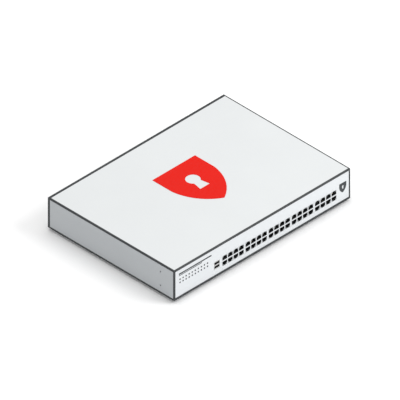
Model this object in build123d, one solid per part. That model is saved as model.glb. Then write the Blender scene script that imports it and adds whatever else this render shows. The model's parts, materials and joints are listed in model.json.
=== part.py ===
from build123d import *
import math
import os

# Rack-width firewall appliance, 1.5 rack units high, standing on four rubber feet.
# Millimetres. +X is the appliance's right-hand side seen from the front, +Y runs to the rear,
# +Z is up. The origin is on the floor under the middle of the overall box.

# ---------------------------------------------------------------- driving dimensions
case_width = 445.0        # body width that passes between 19-inch rack posts
case_height = 66.0        # 1.5 rack units less clearance
body_depth = 320.0        # front frame face to rear frame face
rear_projection = 7.0     # how far the earth stud stands out behind the rear frame
foot_height = 5.0

rim = 3.0                 # visible width of the dark edge of frames and rails
low_rim = 4.4             # the same along the foot of the sides and of the two ends
rear_band = 6.0           # depth of the rear frame that shows on the top and the sides
sheet = 1.2               # cover, pan and side panel thickness
step = 1.3                # depth of the rebate that a panel lies in
seam = 0.15               # gap round every panel
rail_width, rail_height = 11.0, 12.0
port_inset_x, port_inset_z = 6.2, 7.5    # rail screw port, from the side and from top or bottom
frame_depth = 12.0
frame_band_x, frame_band_z = 9.5, 10.9   # width of an end frame's band behind its panel
edge_chamfer = 0.8
hook_length = 5.0         # how far a panel's hook reaches into an end frame

panel_recess = 0.8        # front and rear panels lie this far inside their frames
fascia_thickness = 2.5
rear_sheet = 1.5

# Jacks: 8P8C sockets ganged four wide and two high
gang_count = 5
columns = 4
jack_pitch = 13.97
gang_pitch = 58.4
first_gang_left = 121.0   # from the case's left face
jack_centre_z = 30.5
jack_width = 11.9
jack_height = 6.9
latch_width = 6.6
latch_height = 2.4
divider = 2.6             # wall between the upper and the lower jack
port_frame_width = 56.4
port_frame_height = 24.6
housing_width = 55.6
housing_height = 25.0
housing_depth = 20.0
cavity_depth = 14.0
shield_sheet = 0.3

# Stacked USB-A sockets
usb_left = 101.7
usb_width = 13.6
usb_height = 16.4
usb_depth = 17.5
usb_slot_width = 12.6
usb_slot_height = 5.2
usb_slot_offset = 3.9
usb_wall = 0.4

# Status lights, ten columns and two rows
light_columns = 10
light_first = 15.4        # from the case's left face
light_pitch = 7.7
light_rows = (46.0, 39.0)
light_size = 2.7
light_gap = 0.1

# Boards
board_thickness = 1.6
board_top = 18.0
main_left, main_right = -122.0, 208.0
main_front_inset = 5.5
main_depth = 185.0
psu_left, psu_right = -206.0, -138.0
psu_front, psu_back = -10.0, 122.0

# Rear
fan_size = 40.0
fan_depth = 20.0
fan_centres = (30.0, 90.0)
fan_bore = 18.9
rotor_reach = 17.2        # straight part of a blade; its corners reach a millimetre further
hub_radius = 10.0
hub_sides = 28            # four to each blade
blade_count = 7
shaft_radius = 1.5
bearing_gap = 0.05
vent_radius = 19.6        # honeycomb over each fan
vent_across, vent_pitch = 6.2, 7.4
rear_axis_z = 38.0
inlet_x = -185.0
switch_x = -140.0
stud_x = 196.0
stud_z = 26.0
stud_radius = 2.5
stud_shoulder = 3.2

# Air intake in the right-hand wall
intake_slots = 16
intake_first, intake_pitch, intake_width = -62.0, 9.0, 3.6

# Emblems, upright when seen from the front
badge_height = 128.0
badge_thickness = 0.5
front_badge_height = 21.0
front_badge_x = 426.0     # from the case's left face
front_badge_z = 38.0

# Small holes and screws repeat, so they have few sides, which keeps the model light.
small_sides = 8
head_sides = 12
screw_radius = 1.5
clear_radius = 1.75
head_radius = 2.8
head_height = 1.8

rack_hole_inset = 35.0            # from the front face
rack_hole_spacing = 30.0
rack_thread_radius = 1.65
doubler = 1.5                     # thickness of the plate behind the rack holes

foot_inset_x, foot_inset_y = 26.0, 30.0
foot_radius, foot_sole_radius = 9.5, 8.4
foot_sides = 20

# ---------------------------------------------------------------- places worked out from them
half_width = case_width / 2
y_front = -(body_depth + rear_projection) / 2
y_back = y_front + body_depth
z_base = foot_height
z_top = z_base + case_height
z_mid = (z_base + z_top) / 2
y_fascia = y_front + panel_recess
y_fascia_back = y_fascia + fascia_thickness
y_rear_face = y_back - panel_recess
y_rear_inner = y_rear_face - rear_sheet
rail_front = y_front + frame_depth
rail_back = y_back - frame_depth
fan_back = y_rear_inner - 0.05
cover_screw_xs = (-120.0, 120.0)
hook_zs = (z_base + 19.0, z_top - 19.0)
jack_offset_z = divider / 2 + jack_height / 2
y_housing = y_fascia_back + 1.2
board_bottom = board_top - board_thickness
pan_top = z_base + sheet

os.makedirs("parts", exist_ok=True)


# ---------------------------------------------------------------- helpers
def block(x0, x1, y0, y1, z0, z1):
    """A box between two corners."""
    centre = Pos((x0 + x1) / 2, (y0 + y1) / 2, (z0 + z1) / 2)
    return centre * Box(x1 - x0, y1 - y0, z1 - z0)


def slab_y(profile, y0, y1):
    """A profile drawn in X and Z, filled from y0 back to y1."""
    return extrude(Plane.XZ.offset(-y1) * profile, amount=y1 - y0)


def slab_x(profile, x0, x1):
    """A profile drawn in Y and Z, filled from x0 to x1."""
    return extrude(Plane.YZ.offset(x0) * profile, amount=x1 - x0)


def slab_z(profile, z0, z1):
    """A profile drawn in X and Y, filled from z0 up to z1."""
    return extrude(Plane.XY.offset(z0) * profile, amount=z1 - z0)


def rod_y(x, z, radius, y0, y1):
    return slab_y(Pos(x, z) * Circle(radius), y0, y1)


def rod_x(y, z, radius, x0, x1):
    return slab_x(Pos(y, z) * Circle(radius), x0, x1)


def save(node, *solids):
    """Writes one sub-part, made of one solid or of several like ones."""
    shape = solids[0] if len(solids) == 1 else Compound(list(solids))
    export_step(shape, f"parts/{node}.step")


def gang_centre_x(gang):
    return -half_width + first_gang_left + port_frame_width / 2 + gang * gang_pitch


def column_x(column):
    """A column's place from the middle of its gang."""
    return (column - (columns - 1) / 2) * jack_pitch


def small_round(radius, hole=False):
    """A small circle as an eight-sided outline: outside the circle for a hole, inside it for a
    screw, so that one always clears the other."""
    return RegularPolygon(radius, small_sides, major_radius=not hole)


def port_places():
    """The rails' screw ports seen from the front, as x and z."""
    return [
        (side * (half_width - port_inset_x), z_mid + level * (case_height / 2 - port_inset_z))
        for side in (-1, 1)
        for level in (-1, 1)
    ]


def small_hole_y(x, z, radius, y0, y1):
    return slab_y(Pos(x, z) * small_round(radius, hole=True), y0, y1)


# ---------------------------------------------------------------- case
def end_frame(pocket_depth, band):
    """A die-cast end frame with its outer face at y = 0. A pocket takes the panel, the outer
    faces are rebated from the depth of the visible band, and the rim runs on along all edges."""
    low, high = z_base + low_rim, z_top - rim
    frame = Pos(0, frame_depth / 2, z_mid) * Box(case_width, frame_depth, case_height)
    outer_edges = frame.edges().filter_by(Axis.Y) + frame.faces().sort_by(Axis.Y)[0].edges()
    frame = chamfer(outer_edges, edge_chamfer)
    frame -= block(-half_width + rim, half_width - rim, -1, pocket_depth, low, high)
    opening = Rectangle(case_width - 2 * frame_band_x, case_height - 2 * frame_band_z)
    frame -= slab_y(Pos(0, z_mid) * opening, -1, frame_depth + 1)
    across = half_width - rim
    frame -= block(-across, across, band, frame_depth + 1, z_top - step, z_top + 1)
    frame -= block(-across, across, band, frame_depth + 1, z_base - 1, z_base + step)
    for side in (-1, 1):
        xs = sorted((side * (half_width + 1), side * (half_width - step)))
        frame -= block(*xs, band, frame_depth + 1, low, high)
    for x, z in port_places():
        frame -= small_hole_y(x, z, clear_radius, -1, frame_depth + 1)
    return frame


def front_frame():
    return Pos(0, y_front, 0) * end_frame(panel_recess + fascia_thickness + light_gap, rim)


def rear_frame():
    frame = end_frame(panel_recess + rear_sheet + light_gap, rear_band)
    for x in cover_screw_xs:
        frame -= small_hole_y(x, z_top - port_inset_z, clear_radius, -1, frame_depth + 1)
    return Pos(0, y_back, 0) * Rot(0, 0, 180) * frame


def rail(side, level):
    """An extruded edge rail: a core with a screw port, rebated for the two panels that meet
    there, and a rim at the outer corner."""
    side_rim = rim if level > 0 else low_rim
    outline = [
        (edge_chamfer, 0), (rim, 0), (rim, step), (rail_width, step),
        (rail_width, rail_height), (step, rail_height), (step, side_rim), (0, side_rim),
        (0, edge_chamfer),
    ]
    at = [(side * (half_width - u), z_mid + level * (case_height / 2 - v)) for u, v in outline]
    port_x = side * (half_width - port_inset_x)
    port_z = z_mid + level * (case_height / 2 - port_inset_z)
    port = Pos(port_x, port_z) * small_round(screw_radius, hole=True)
    return slab_y(make_face(Polyline(at, close=True)) - port, rail_front, rail_back)


def panel_x():
    return half_width - rim - seam


def panel_ys():
    return y_front + rim + seam, y_back - rear_band - seam


def top_cover():
    """A flat plate in the rebates, with folded stiffening flanges along its sides, hooks that
    pass under the front frame and a rear flange that takes the cover screws."""
    y0, y1 = panel_ys()
    cover = block(-panel_x(), panel_x(), y0, y1, z_top - sheet, z_top)
    flange_out = half_width - rail_width - 5
    for side in (-1, 1):
        xs = sorted((side * flange_out, side * (flange_out - sheet)))
        cover += block(*xs, rail_front + 4, rail_back - 4, z_top - 10, z_top - sheet)
    fold = rail_back - 0.1
    flange = block(-200, 200, fold - sheet, fold, z_top - 13, z_top - sheet)
    for x in cover_screw_xs:
        flange -= small_hole_y(x, z_top - port_inset_z, screw_radius, fold - 2, fold + 1)
    cover += flange
    under = z_top - frame_band_z - 0.2
    leg_y = rail_front + 0.1
    for x in (-95, 0, 95, 190):
        cover += block(x - 8, x + 8, leg_y, leg_y + sheet, under - sheet, z_top - sheet)
        cover += block(x - 8, x + 8, rail_front - hook_length, leg_y + sheet, under - sheet, under)
    return cover


def bottom_pan():
    """The floor of the case, riveted into the rebates of the lower rails."""
    y0, y1 = panel_ys()
    return block(-panel_x(), panel_x(), y0, y1, z_base, pan_top)


def side_panel(side):
    """A side wall that hooks behind both end frames. A doubler plate inside takes the two
    rack-ear screws, and the right-hand wall has the air intake slots."""
    y0, y1 = panel_ys()
    low, high = z_base + low_rim + seam, z_top - rim - seam
    xs = sorted((side * half_width, side * (half_width - sheet)))
    wall = block(*xs, y0, y1, low, high)
    tip = half_width - frame_band_x - 0.2
    leg_xs = sorted((side * (half_width - sheet), side * (tip - sheet)))
    hook_xs = sorted((side * tip, side * (tip - sheet)))
    for z in hook_zs:
        wall += block(*leg_xs, rail_front + 0.1, rail_front + 0.1 + sheet, z - 4, z + 4)
        wall += block(*hook_xs, rail_front - hook_length, rail_front + 0.1 + sheet, z - 4, z + 4)
        wall += block(*leg_xs, rail_back - 0.1 - sheet, rail_back - 0.1, z - 4, z + 4)
        wall += block(*hook_xs, rail_back - 0.1 - sheet, rail_back + hook_length, z - 4, z + 4)
    plate_xs = sorted((side * (half_width - sheet), side * (half_width - sheet - doubler)))
    ear_y = y_front + rack_hole_inset
    wall += block(*plate_xs, ear_y - 10, ear_y + 10, z_mid - 20, z_mid + 20)
    for y, z in rack_hole_places():
        wall -= rod_x(y, z, rack_thread_radius, -half_width - 1, half_width + 1)
    if side > 0:
        for i in range(intake_slots):
            y = intake_first + i * intake_pitch
            wall -= block(0, half_width + 1, y, y + intake_width, z_mid - 17, z_mid + 17)
    return wall


def rack_hole_places():
    return [
        (y_front + rack_hole_inset, z_mid + level * rack_hole_spacing / 2) for level in (-1, 1)
    ]


def panel_outline():
    """The outline that both end panels share, a seam inside the frame's pocket."""
    low, high = z_base + low_rim + seam, z_top - rim - seam
    return Pos(0, (low + high) / 2) * Rectangle(2 * panel_x(), high - low)


def front_fascia():
    """The moulded front: windows for the port frames and the USB stack, square holes for the
    status lights, clips behind the front frame and hollows over the frame's screws."""
    outline = panel_outline()
    for gang in range(gang_count):
        window = Rectangle(port_frame_width + 0.2, port_frame_height + 0.2)
        outline -= Pos(gang_centre_x(gang), jack_centre_z) * window
    outline -= Pos(usb_x(), jack_centre_z) * Rectangle(usb_width + 0.3, usb_height + 0.3)
    for x, z in light_places():
        outline -= Pos(x, z) * Rectangle(light_size + 0.2, light_size + 0.2)
    fascia = slab_y(outline, y_fascia, y_fascia_back)
    front = fascia.faces().sort_by(Axis.Y)[0]
    fascia = chamfer(front.outer_wire().edges(), 0.4)
    for x, z in port_places():
        fascia -= block(x - 3.5, x + 3.5, y_fascia_back - 2, y_fascia_back + 1, z - 3.5, z + 3.5)
    for x, z, turn in fascia_clip_places():
        fascia += Pos(x, 0, z) * Rot(0, turn, 0) * fascia_clip()
    return fascia


def fascia_clip_places():
    """Where clips reach through the front frame's opening: x, z and the turn about Y."""
    edge_x = half_width - frame_band_x
    edge_z = case_height / 2 - frame_band_z
    places = [(x, z_mid + edge_z, 0) for x in (-50, 50, 145)]
    return places + [(edge_x, z_mid, 90), (-edge_x, z_mid, -90)]


def fascia_clip():
    """One cantilever clip that points up: a leg through the frame and a barb behind its band."""
    leg = block(-4, 4, y_fascia_back - 0.1, rail_front + 1.6, -1.5, -0.2)
    return leg + block(-4, 4, rail_front + 0.1, rail_front + 1.6, -1.5, 0.7)


def honeycomb(radius, across, pitch):
    """Centres of the hexagons that fit inside a circle."""
    row_step = pitch * math.sqrt(3) / 2
    rows = int(radius // row_step)
    places = []
    for row in range(-rows, rows + 1):
        shift = pitch / 2 if row % 2 else 0
        for cell in range(-rows - 1, rows + 2):
            x, z = cell * pitch + shift, row * row_step
            if math.hypot(x, z) + across / 2 <= radius:
                places.append((x, z))
    return places


def rear_panel():
    """The punched rear panel: honeycomb over each fan, inlet, switch and stud openings."""
    outline = panel_outline()
    hexagon = RegularPolygon(vent_across / 2, 6, major_radius=False, rotation=30)
    for centre in fan_centres:
        for x, z in honeycomb(vent_radius, vent_across, vent_pitch):
            outline -= Pos(centre + x, rear_axis_z + z) * hexagon
    outline -= Pos(inlet_x, rear_axis_z) * Rectangle(27.4, 20.2)
    outline -= Pos(switch_x, rear_axis_z) * Rectangle(13.2, 19.4)
    outline -= Pos(stud_x, stud_z) * RegularPolygon(stud_shoulder + 0.05, small_sides)
    for x, z in port_places():
        outline -= Pos(x, z) * small_round(clear_radius, hole=True)
    for x in cover_screw_xs:
        outline -= Pos(x, z_top - port_inset_z) * small_round(clear_radius, hole=True)
    return slab_y(outline, y_rear_inner, y_rear_face)


# ---------------------------------------------------------------- feet and badges
def foot_places():
    xs = (-half_width + foot_inset_x, half_width - foot_inset_x)
    ys = (y_front + foot_inset_y, y_back - foot_inset_y)
    return [(x, y) for y in ys for x in xs]


def rubber_foot(x, y):
    """A tapered rubber foot, bonded to the pan."""
    sole = Pos(x, y) * RegularPolygon(foot_sole_radius, foot_sides)
    top = Plane.XY.offset(foot_height) * Pos(x, y) * RegularPolygon(foot_radius, foot_sides)
    return loft(Sketch() + [sole, top])


def shield_outline(height):
    """A plain shield: flat top, straight shoulders and two arcs that meet in a point."""
    half = height * 0.42
    shoulder = height * 0.12
    top = height / 2
    bulge = (half * 0.74, -height * 0.20)
    edge = Line((-half, top), (half, top))
    edge += Line((half, top), (half, shoulder))
    edge += ThreePointArc((half, shoulder), bulge, (0, -height / 2))
    edge += ThreePointArc((0, -height / 2), (-bulge[0], bulge[1]), (-half, shoulder))
    edge += Line((-half, shoulder), (-half, top))
    return make_face(edge)


def keyhole(height):
    """A keyhole for the middle of a shield: a round eye over a flared slot."""
    eye = height * 0.11
    low = -height * 0.24
    flare = make_face(
        Polyline((-eye * 0.45, 0), (eye * 0.45, 0), (eye * 0.85, low), (-eye * 0.85, low), close=True)
    )
    return Pos(0, height * 0.12) * (Circle(eye) + flare)


def top_badge():
    """The emblem plate bonded to the top cover, upright when read from the front."""
    centre = Pos(0, (y_front + y_back) / 2)
    face = centre * (shield_outline(badge_height) - keyhole(badge_height))
    return slab_z(face, z_top, z_top + badge_thickness)


def front_badges():
    """The small emblem at the right-hand end of the fascia and the stripe over the lights."""
    at = Pos(-half_width + front_badge_x, front_badge_z)
    face = at * (shield_outline(front_badge_height) - keyhole(front_badge_height))
    stripe = Pos(-half_width + 53.5, 58.0) * Rectangle(82.0, 2.6)
    proud = y_fascia - 0.3
    return slab_y(face, proud, y_fascia), slab_y(stripe, proud, y_fascia)


# ---------------------------------------------------------------- jacks
def jack_opening(level):
    """The outline of one 8P8C opening. Level 1 is the upper row, with its latch notch on top."""
    notch_z = level * (jack_height / 2 + latch_height / 2)
    notch = Pos(0, notch_z) * Rectangle(latch_width, latch_height)
    return Rectangle(jack_width, jack_height) + notch


def gang_openings():
    """All eight openings of a gang, about the gang's middle."""
    places = Sketch()
    for column in range(columns):
        for level in (-1, 1):
            places += Pos(column_x(column), level * jack_offset_z) * jack_opening(level)
    return places


def port_frame(gang):
    """The light moulded grid that fills a fascia window, with a lip behind the fascia."""
    at = Pos(gang_centre_x(gang), jack_centre_z)
    grid = at * (Rectangle(port_frame_width, port_frame_height) - openings_of_gang)
    lip = at * (Rectangle(port_frame_width, port_frame_height + 3) - openings_of_gang)
    return slab_y(grid, y_fascia, y_fascia_back) + slab_y(lip, y_fascia_back, y_housing - 0.1)


def jack_housing(gang):
    """The black insulator block with eight plug cavities, standing on the main board."""
    at = Pos(gang_centre_x(gang), jack_centre_z)
    body = slab_y(at * Rectangle(housing_width, housing_height), y_housing, y_housing + housing_depth)
    return body - slab_y(at * openings_of_gang, y_housing - 1, y_housing + cavity_depth)


def jack_shield(gang):
    """The folded metal can round a housing: top, sides and back."""
    x = gang_centre_x(gang)
    half = housing_width / 2 + 0.05
    top = jack_centre_z + housing_height / 2 + 0.05
    back = y_housing + housing_depth + 0.05
    can = block(
        x - half - shield_sheet, x + half + shield_sheet,
        y_housing + 0.5, back + shield_sheet, board_top, top + shield_sheet,
    )
    return can - block(x - half, x + half, y_housing - 1, back, board_top - 1, top)


openings_of_gang = gang_openings()


# ---------------------------------------------------------------- USB stack and status lights
def usb_x():
    return -half_width + usb_left + usb_width / 2


def usb_shell():
    """The plated shell with two slots, one over the other."""
    x = usb_x()
    y0 = y_fascia + 0.1
    shell = slab_y(Pos(x, jack_centre_z) * Rectangle(usb_width, usb_height), y0, y0 + usb_depth)
    for level in (-1, 1):
        slot = Pos(x, jack_centre_z + level * usb_slot_offset)
        slot = slot * Rectangle(usb_slot_width, usb_slot_height)
        shell -= slab_y(slot, y0 - 1, y0 + usb_depth - usb_wall)
    return shell


def usb_insulators():
    """A tongue with its back block for each slot, and the base that lifts the stack."""
    x = usb_x()
    y1 = y_fascia + 0.1 + usb_depth - usb_wall
    pieces = []
    for level in (-1, 1):
        z = jack_centre_z + level * usb_slot_offset
        half_w, half_h = usb_slot_width / 2 - 0.05, usb_slot_height / 2 - 0.05
        back = block(x - half_w, x + half_w, y1 - 6, y1, z - half_h, z + half_h)
        tongue = block(x - 5.55, x + 5.55, y1 - 15.5, y1 - 6, z - 0.3, z + 1.5)
        pieces.append(back + tongue)
    low = jack_centre_z - usb_height / 2
    y0 = y_front + main_front_inset
    pieces.append(block(x - usb_width / 2, x + usb_width / 2, y0, y1, board_top, low))
    return pieces


def light_places():
    return [
        (-half_width + light_first + i * light_pitch, z)
        for z in light_rows
        for i in range(light_columns)
    ]


lights_y = y_front + 11.2


def light_pipe_array():
    """Twenty square light pipes that stand on one web in front of the lights."""
    half = light_size / 2
    xs = [x for x, z in light_places()]
    web_y = lights_y - 1.2
    array = block(
        min(xs) - 3, max(xs) + 3, web_y, lights_y, min(light_rows) - 3, max(light_rows) + 3
    )
    for x, z in light_places():
        array += block(x - half, x + half, y_fascia - 0.3, web_y, z - half, z + half)
    return array


def status_board():
    """The upright board behind the lights, held against the back of the front frame."""
    y0 = rail_front + 0.1
    return block(-210.5, -127, y0, y0 + board_thickness, 13, 62)


def status_lights():
    y1 = rail_front + 0.1
    return [block(x - 1, x + 1, lights_y + 0.1, y1, z - 0.7, z + 0.7) for x, z in light_places()]


# ---------------------------------------------------------------- main board
main_front = y_front + main_front_inset
main_supports = [
    (x, y) for x in (-114.0, 45.0, 200.0) for y in (main_front + 40, main_front + main_depth - 8)
]
psu_supports = [
    (x, y) for x in (psu_left + 5, psu_right - 5) for y in (psu_front + 6, psu_back - 6)
]


def board(x0, x1, y0, y1, supports):
    plate = block(x0, x1, y0, y1, board_bottom, board_top)
    for x, y in supports:
        plate -= block(x - 1.6, x + 1.6, y - 1.6, y + 1.6, board_bottom - 1, board_top + 1)
    return plate


def board_supports():
    """Snap-in supports between the pan and the boards: a hexagon body, a square post that
    passes through the board, and a flared cap that holds the board down."""
    supports = []
    for x, y in main_supports + psu_supports:
        support = slab_z(Pos(x, y) * RegularPolygon(3.2, 6), pan_top, board_bottom)
        support += block(x - 1.5, x + 1.5, y - 1.5, y + 1.5, board_bottom, board_top)
        support += Pos(x, y, board_top) * flared_cap()
        supports.append(support)
    return supports


def flared_cap():
    """The cap of a board support: wide where it meets the board, narrow at its tip."""
    wide = Plane.XY * Rectangle(4.4, 3.0)
    narrow = Plane.XY.offset(3) * Rectangle(1.6, 3.0)
    return loft(Sketch() + [wide, narrow])


def chip(x, y, size):
    return block(x - size / 2, x + size / 2, y - size / 2, y + size / 2, board_top, board_top + 3)


def heatsink(x, y, size, height, fins):
    """An extruded heat sink: a base with straight fins that run front to back."""
    foot = board_top + 3
    sink = block(x - size / 2, x + size / 2, y - size / 2, y + size / 2, foot, foot + height)
    pitch = size / fins
    fin = 1.4
    for i in range(fins - 1):
        x0 = x - size / 2 + i * (size - fin) / (fins - 1) + fin
        x1 = x - size / 2 + (i + 1) * (size - fin) / (fins - 1)
        sink -= block(x0, x1, y - size, y + size, foot + 3.5, foot + height + 1)
    return sink


def memory_module():
    """A small memory card lying over the board with eight chips on it."""
    card = block(-90, -22, 0, 20, board_top + 5, board_top + 6.2)
    for i in range(4):
        x = -86 + i * 16.5
        card += block(x, x + 11, 5, 15, board_top + 6.2, board_top + 7.4)
    return card


def memory_socket():
    """The socket that grips the memory card along its front edge."""
    socket = block(-93, -19, -6, 0, board_top, board_top + 8)
    return socket - block(-90.1, -21.9, -2, 1, board_top + 4.9, board_top + 6.3)


def coin_cell():
    return slab_z(Pos(172, 5) * RegularPolygon(10, 32), board_top + 1, board_top + 4.2)


def coin_cell_holder():
    """A square cradle with a floor under the cell."""
    cradle = block(160.5, 183.5, -6.5, 16.5, board_top, board_top + 4.5)
    return cradle - block(161.9, 182.1, -5.1, 15.1, board_top + 1, board_top + 5)


# ---------------------------------------------------------------- power supply
transformer_x, transformer_y = -173.0, 52.0


def transformer_core():
    """A ferrite core of two E halves: three upright legs joined above and below."""
    at = Pos(transformer_x, board_top + 16)
    outline = at * Rectangle(34, 28)
    for side in (-1, 1):
        outline -= at * Pos(side * 8.25, 0) * Rectangle(7.5, 18)
    return slab_y(outline, transformer_y - 10, transformer_y + 10)


def transformer_winding():
    """The wound bobbin round the middle leg, with two feet that stand on the board."""
    x, y = transformer_x, transformer_y
    low = board_top + 7.1
    section = Rectangle(23.8, 32) - Rectangle(9.2, 20.2)
    winding = slab_z(Pos(x, y) * section, low, low + 17.8)
    for side in (-1, 1):
        ys = sorted((y + side * 10.1, y + side * 16))
        winding += block(x - 11.9, x + 11.9, *ys, board_top, low + 1)
    return winding


def psu_capacitors():
    places = ((-191, 99, 11, 30), (-165, 99, 9, 25))
    return [
        slab_z(Pos(x, y) * RegularPolygon(r, 24), board_top, board_top + h)
        for x, y, r, h in places
    ]


def psu_heatsinks():
    """Upright plates with a foot fold, one on each side of the transformer."""
    sinks = []
    for x, fold in ((-201.5, 1), (-146.0, -1)):
        xs = sorted((x, x + fold * 2.5))
        top = sorted((x, x + fold * 10))
        plate = block(*xs, 26, 84, board_top, board_top + 32)
        sinks.append(plate + block(*top, 26, 84, board_top + 32, board_top + 34))
    return sinks


# ---------------------------------------------------------------- rear fittings
def fan_housing(centre):
    """A square duct with a round bore, and a motor cup held by four struts at the outlet."""
    at = Pos(centre, rear_axis_z)
    square = chamfer(Rectangle(fan_size, fan_size).vertices(), 3) - Circle(fan_bore)
    housing = slab_y(at * square, fan_back - fan_depth, fan_back)
    struts = Sketch() + [
        Rot(0, 0, 45 + 90 * i) * (Pos(fan_bore / 2 + 2, 0) * Rectangle(fan_bore, 2.2))
        for i in range(4)
    ]
    cup = RegularPolygon(hub_radius, hub_sides)
    housing += slab_y(at * (struts + cup), fan_back - 3, fan_back)
    bearing = at * small_round(shaft_radius + bearing_gap, hole=True)
    return housing - slab_y(bearing, fan_back - 3.1, fan_back - 2.4)


def fan_blade():
    """One blade about the Y axis, bent along its middle and set at an angle, from hub to tip."""
    chord, sag, thickness = 14.0, 1.8, 1.0
    outline = [
        (-chord / 2, 0), (0, sag), (chord / 2, 0),
        (chord / 2, thickness), (0, sag + thickness), (-chord / 2, thickness),
    ]
    section = Rot(0, 0, 50) * make_face(Polyline(outline, close=True))
    root = hub_radius - 1.5
    return extrude(Plane.YZ.offset(root) * section, amount=rotor_reach - root)


def fan_rotor(centre):
    """The hub, its shaft and seven curved blades."""
    y1 = fan_back - 3.6
    y0 = y1 - 15.0
    rotor = slab_y(RegularPolygon(hub_radius, hub_sides), y0, y1)
    rotor += slab_y(small_round(shaft_radius), y1, y1 + 1.1)
    blade = Pos(0, (y0 + y1) / 2, 0) * fan_blade()
    for i in range(blade_count):
        rotor += Rot(0, 360 / blade_count * i, 0) * blade
    return Pos(centre, 0, rear_axis_z) * rotor


def ac_inlet():
    """The snap-in mains inlet: a flange outside the panel and a keyed cavity for the plug."""
    at = Pos(inlet_x, rear_axis_z)
    flange = chamfer(Rectangle(31, 24).vertices(), 1.5)
    body = slab_y(at * flange, y_rear_face, y_rear_face + 2.2)
    body += slab_y(at * Rectangle(27, 19.8), y_rear_face - 24, y_rear_face)
    cavity = make_face(
        Polyline((-12.1, -8.3), (12.1, -8.3), (12.1, 4.6), (8.4, 8.3), (-8.4, 8.3), (-12.1, 4.6),
                 close=True)
    )
    return body - slab_y(at * cavity, y_rear_face - 16, y_rear_face + 3)


def inlet_pins():
    y0 = y_rear_face - 16
    pins = []
    for dx, dz, reach in ((-7, -2, 12), (7, -2, 12), (0, 2, 14)):
        x, z = inlet_x + dx, rear_axis_z + dz
        pins.append(block(x - 1, x + 1, y0, y0 + reach, z - 2, z + 2))
    return pins


rocker_half_width = 5.2
rocker_reach = 8.6
rocker_tilt = 8.0


def switch_body():
    """The snap-in switch: a bezel outside the panel and an open box behind it."""
    at = Pos(switch_x, rear_axis_z)
    bezel = chamfer(Rectangle(15, 21.2).vertices(), 1.2)
    opening = Rectangle(2 * rocker_half_width + 0.6, 2 * rocker_reach + 0.8)
    body = slab_y(at * bezel, y_rear_face, y_rear_face + 1.6)
    body += slab_y(at * Rectangle(13, 19.2), y_rear_face - 15, y_rear_face)
    return body - slab_y(at * opening, y_rear_face - 10.5, y_rear_face + 2)


def power_rocker():
    """The rocker at rest in its on position. Its two faces meet in a shallow vee over the
    pivot, and its ends are arcs about the pivot."""
    y = y_rear_face - 1.5
    tilt = math.radians(rocker_tilt)
    reach = rocker_reach
    face = 3.0
    side_view = make_face(
        Polyline(
            (face - 0.0, 0),
            (face + reach * math.sin(tilt), reach * math.cos(tilt)),
            (-2.5, reach * math.cos(tilt)),
            (-4.0, 3.0), (-4.0, -3.0),
            (-2.5, -reach * math.cos(tilt)),
            (face + reach * math.sin(tilt), -reach * math.cos(tilt)),
            close=True,
        )
    )
    swept = Circle(math.hypot(face, reach))
    rocker = slab_x(side_view & swept, -rocker_half_width, rocker_half_width)
    rocker += slab_x(Circle(1.4), -rocker_half_width, rocker_half_width)
    return Pos(switch_x, y, rear_axis_z) * Rot(rocker_tilt, 0, 0) * rocker


def ground_stud():
    """A press-fit earthing stud: a square head inside, a shoulder through the panel and the
    shank outside."""
    at = Pos(stud_x, stud_z)
    stud = slab_y(at * Rectangle(8, 8), y_rear_inner - 2, y_rear_inner)
    shoulder = RegularPolygon(stud_shoulder, small_sides)
    stud += slab_y(at * shoulder, y_rear_inner, y_rear_face + 0.3)
    return stud + rod_y(stud_x, stud_z, stud_radius, y_rear_face + 0.3, y_back + rear_projection)


# ---------------------------------------------------------------- fasteners
def pan_head_y(x, z, face, length, outward):
    """A pan-head screw along Y whose head stands on a face and points outward."""
    head = sorted((face, face + outward * head_height))
    shank = sorted((face, face - outward * length))
    screw = slab_y(Pos(x, z) * RegularPolygon(head_radius, head_sides), *head)
    return screw + slab_y(Pos(x, z) * small_round(screw_radius), *shank)


def frame_screws():
    screws = []
    seat = y_front + panel_recess + fascia_thickness + light_gap
    for x, z in port_places():
        screws.append(pan_head_y(x, z, seat, 18, -1))
        screws.append(pan_head_y(x, z, y_rear_face, 20, 1))
    return screws


def cover_screws():
    return [pan_head_y(x, z_top - port_inset_z, y_rear_face, 16, 1) for x in cover_screw_xs]


# ---------------------------------------------------------------- inner leads
def loom(points, size):
    """A taped wire bundle of square section along straight runs with mitred corners."""
    path = Polyline(*points)
    start = Plane(path @ 0, z_dir=path % 0)
    return sweep(start * Rectangle(size, size), path=path, transition=Transition.RIGHT)


def dc_harness():
    """The bundle that takes the low voltages from the power supply to the main board."""
    points = ((-156, 8, 27), (-156, 8, 40), (-134, 8, 46), (-112, 8, 40), (-112, 8, 27))
    plugs = [block(x - 9, x + 9, 4, 12, board_top, 27) for x in (-156, -112)]
    return [loom(points, 5)] + plugs


def fan_leads():
    """One thin lead from each fan to its header on the main board."""
    pieces = []
    y1 = main_front + main_depth - 18
    for centre in fan_centres:
        x = centre - 14
        y0 = fan_back - fan_depth - 0.3
        points = ((x, y0, 24), (x, 90, 30), (x, 50, 34), (x, y1, 34), (x, y1, 24))
        pieces.append(loom(points, 2))
        pieces.append(block(x - 4, x + 4, y1 - 3, y1 + 3, board_top, 24))
    return pieces


def inlet_leads():
    """Mains wires from the inlet to the power supply's board."""
    y0 = y_rear_face - 24
    return [
        loom(((x, y0, 38), (x, 124, 38), (x, 118, 30), (x, 118, board_top)), 2.2)
        for x in (inlet_x - 7, inlet_x, inlet_x + 7)
    ]


def status_ribbon():
    """The flat cable from the status board back to the main board."""
    y = rail_front + 0.1 + board_thickness
    socket = block(-140, -128, y, y + 5, 24, 30)
    cable = block(-139, -129, y + 5, y + 16, 26.5, 27.5)
    cable += block(-139, -104, y + 8, y + 16, 26.5, 27.5)
    plug = block(-116, -104, y + 7, y + 17, board_top, 26.5)
    return socket, cable, plug


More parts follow.
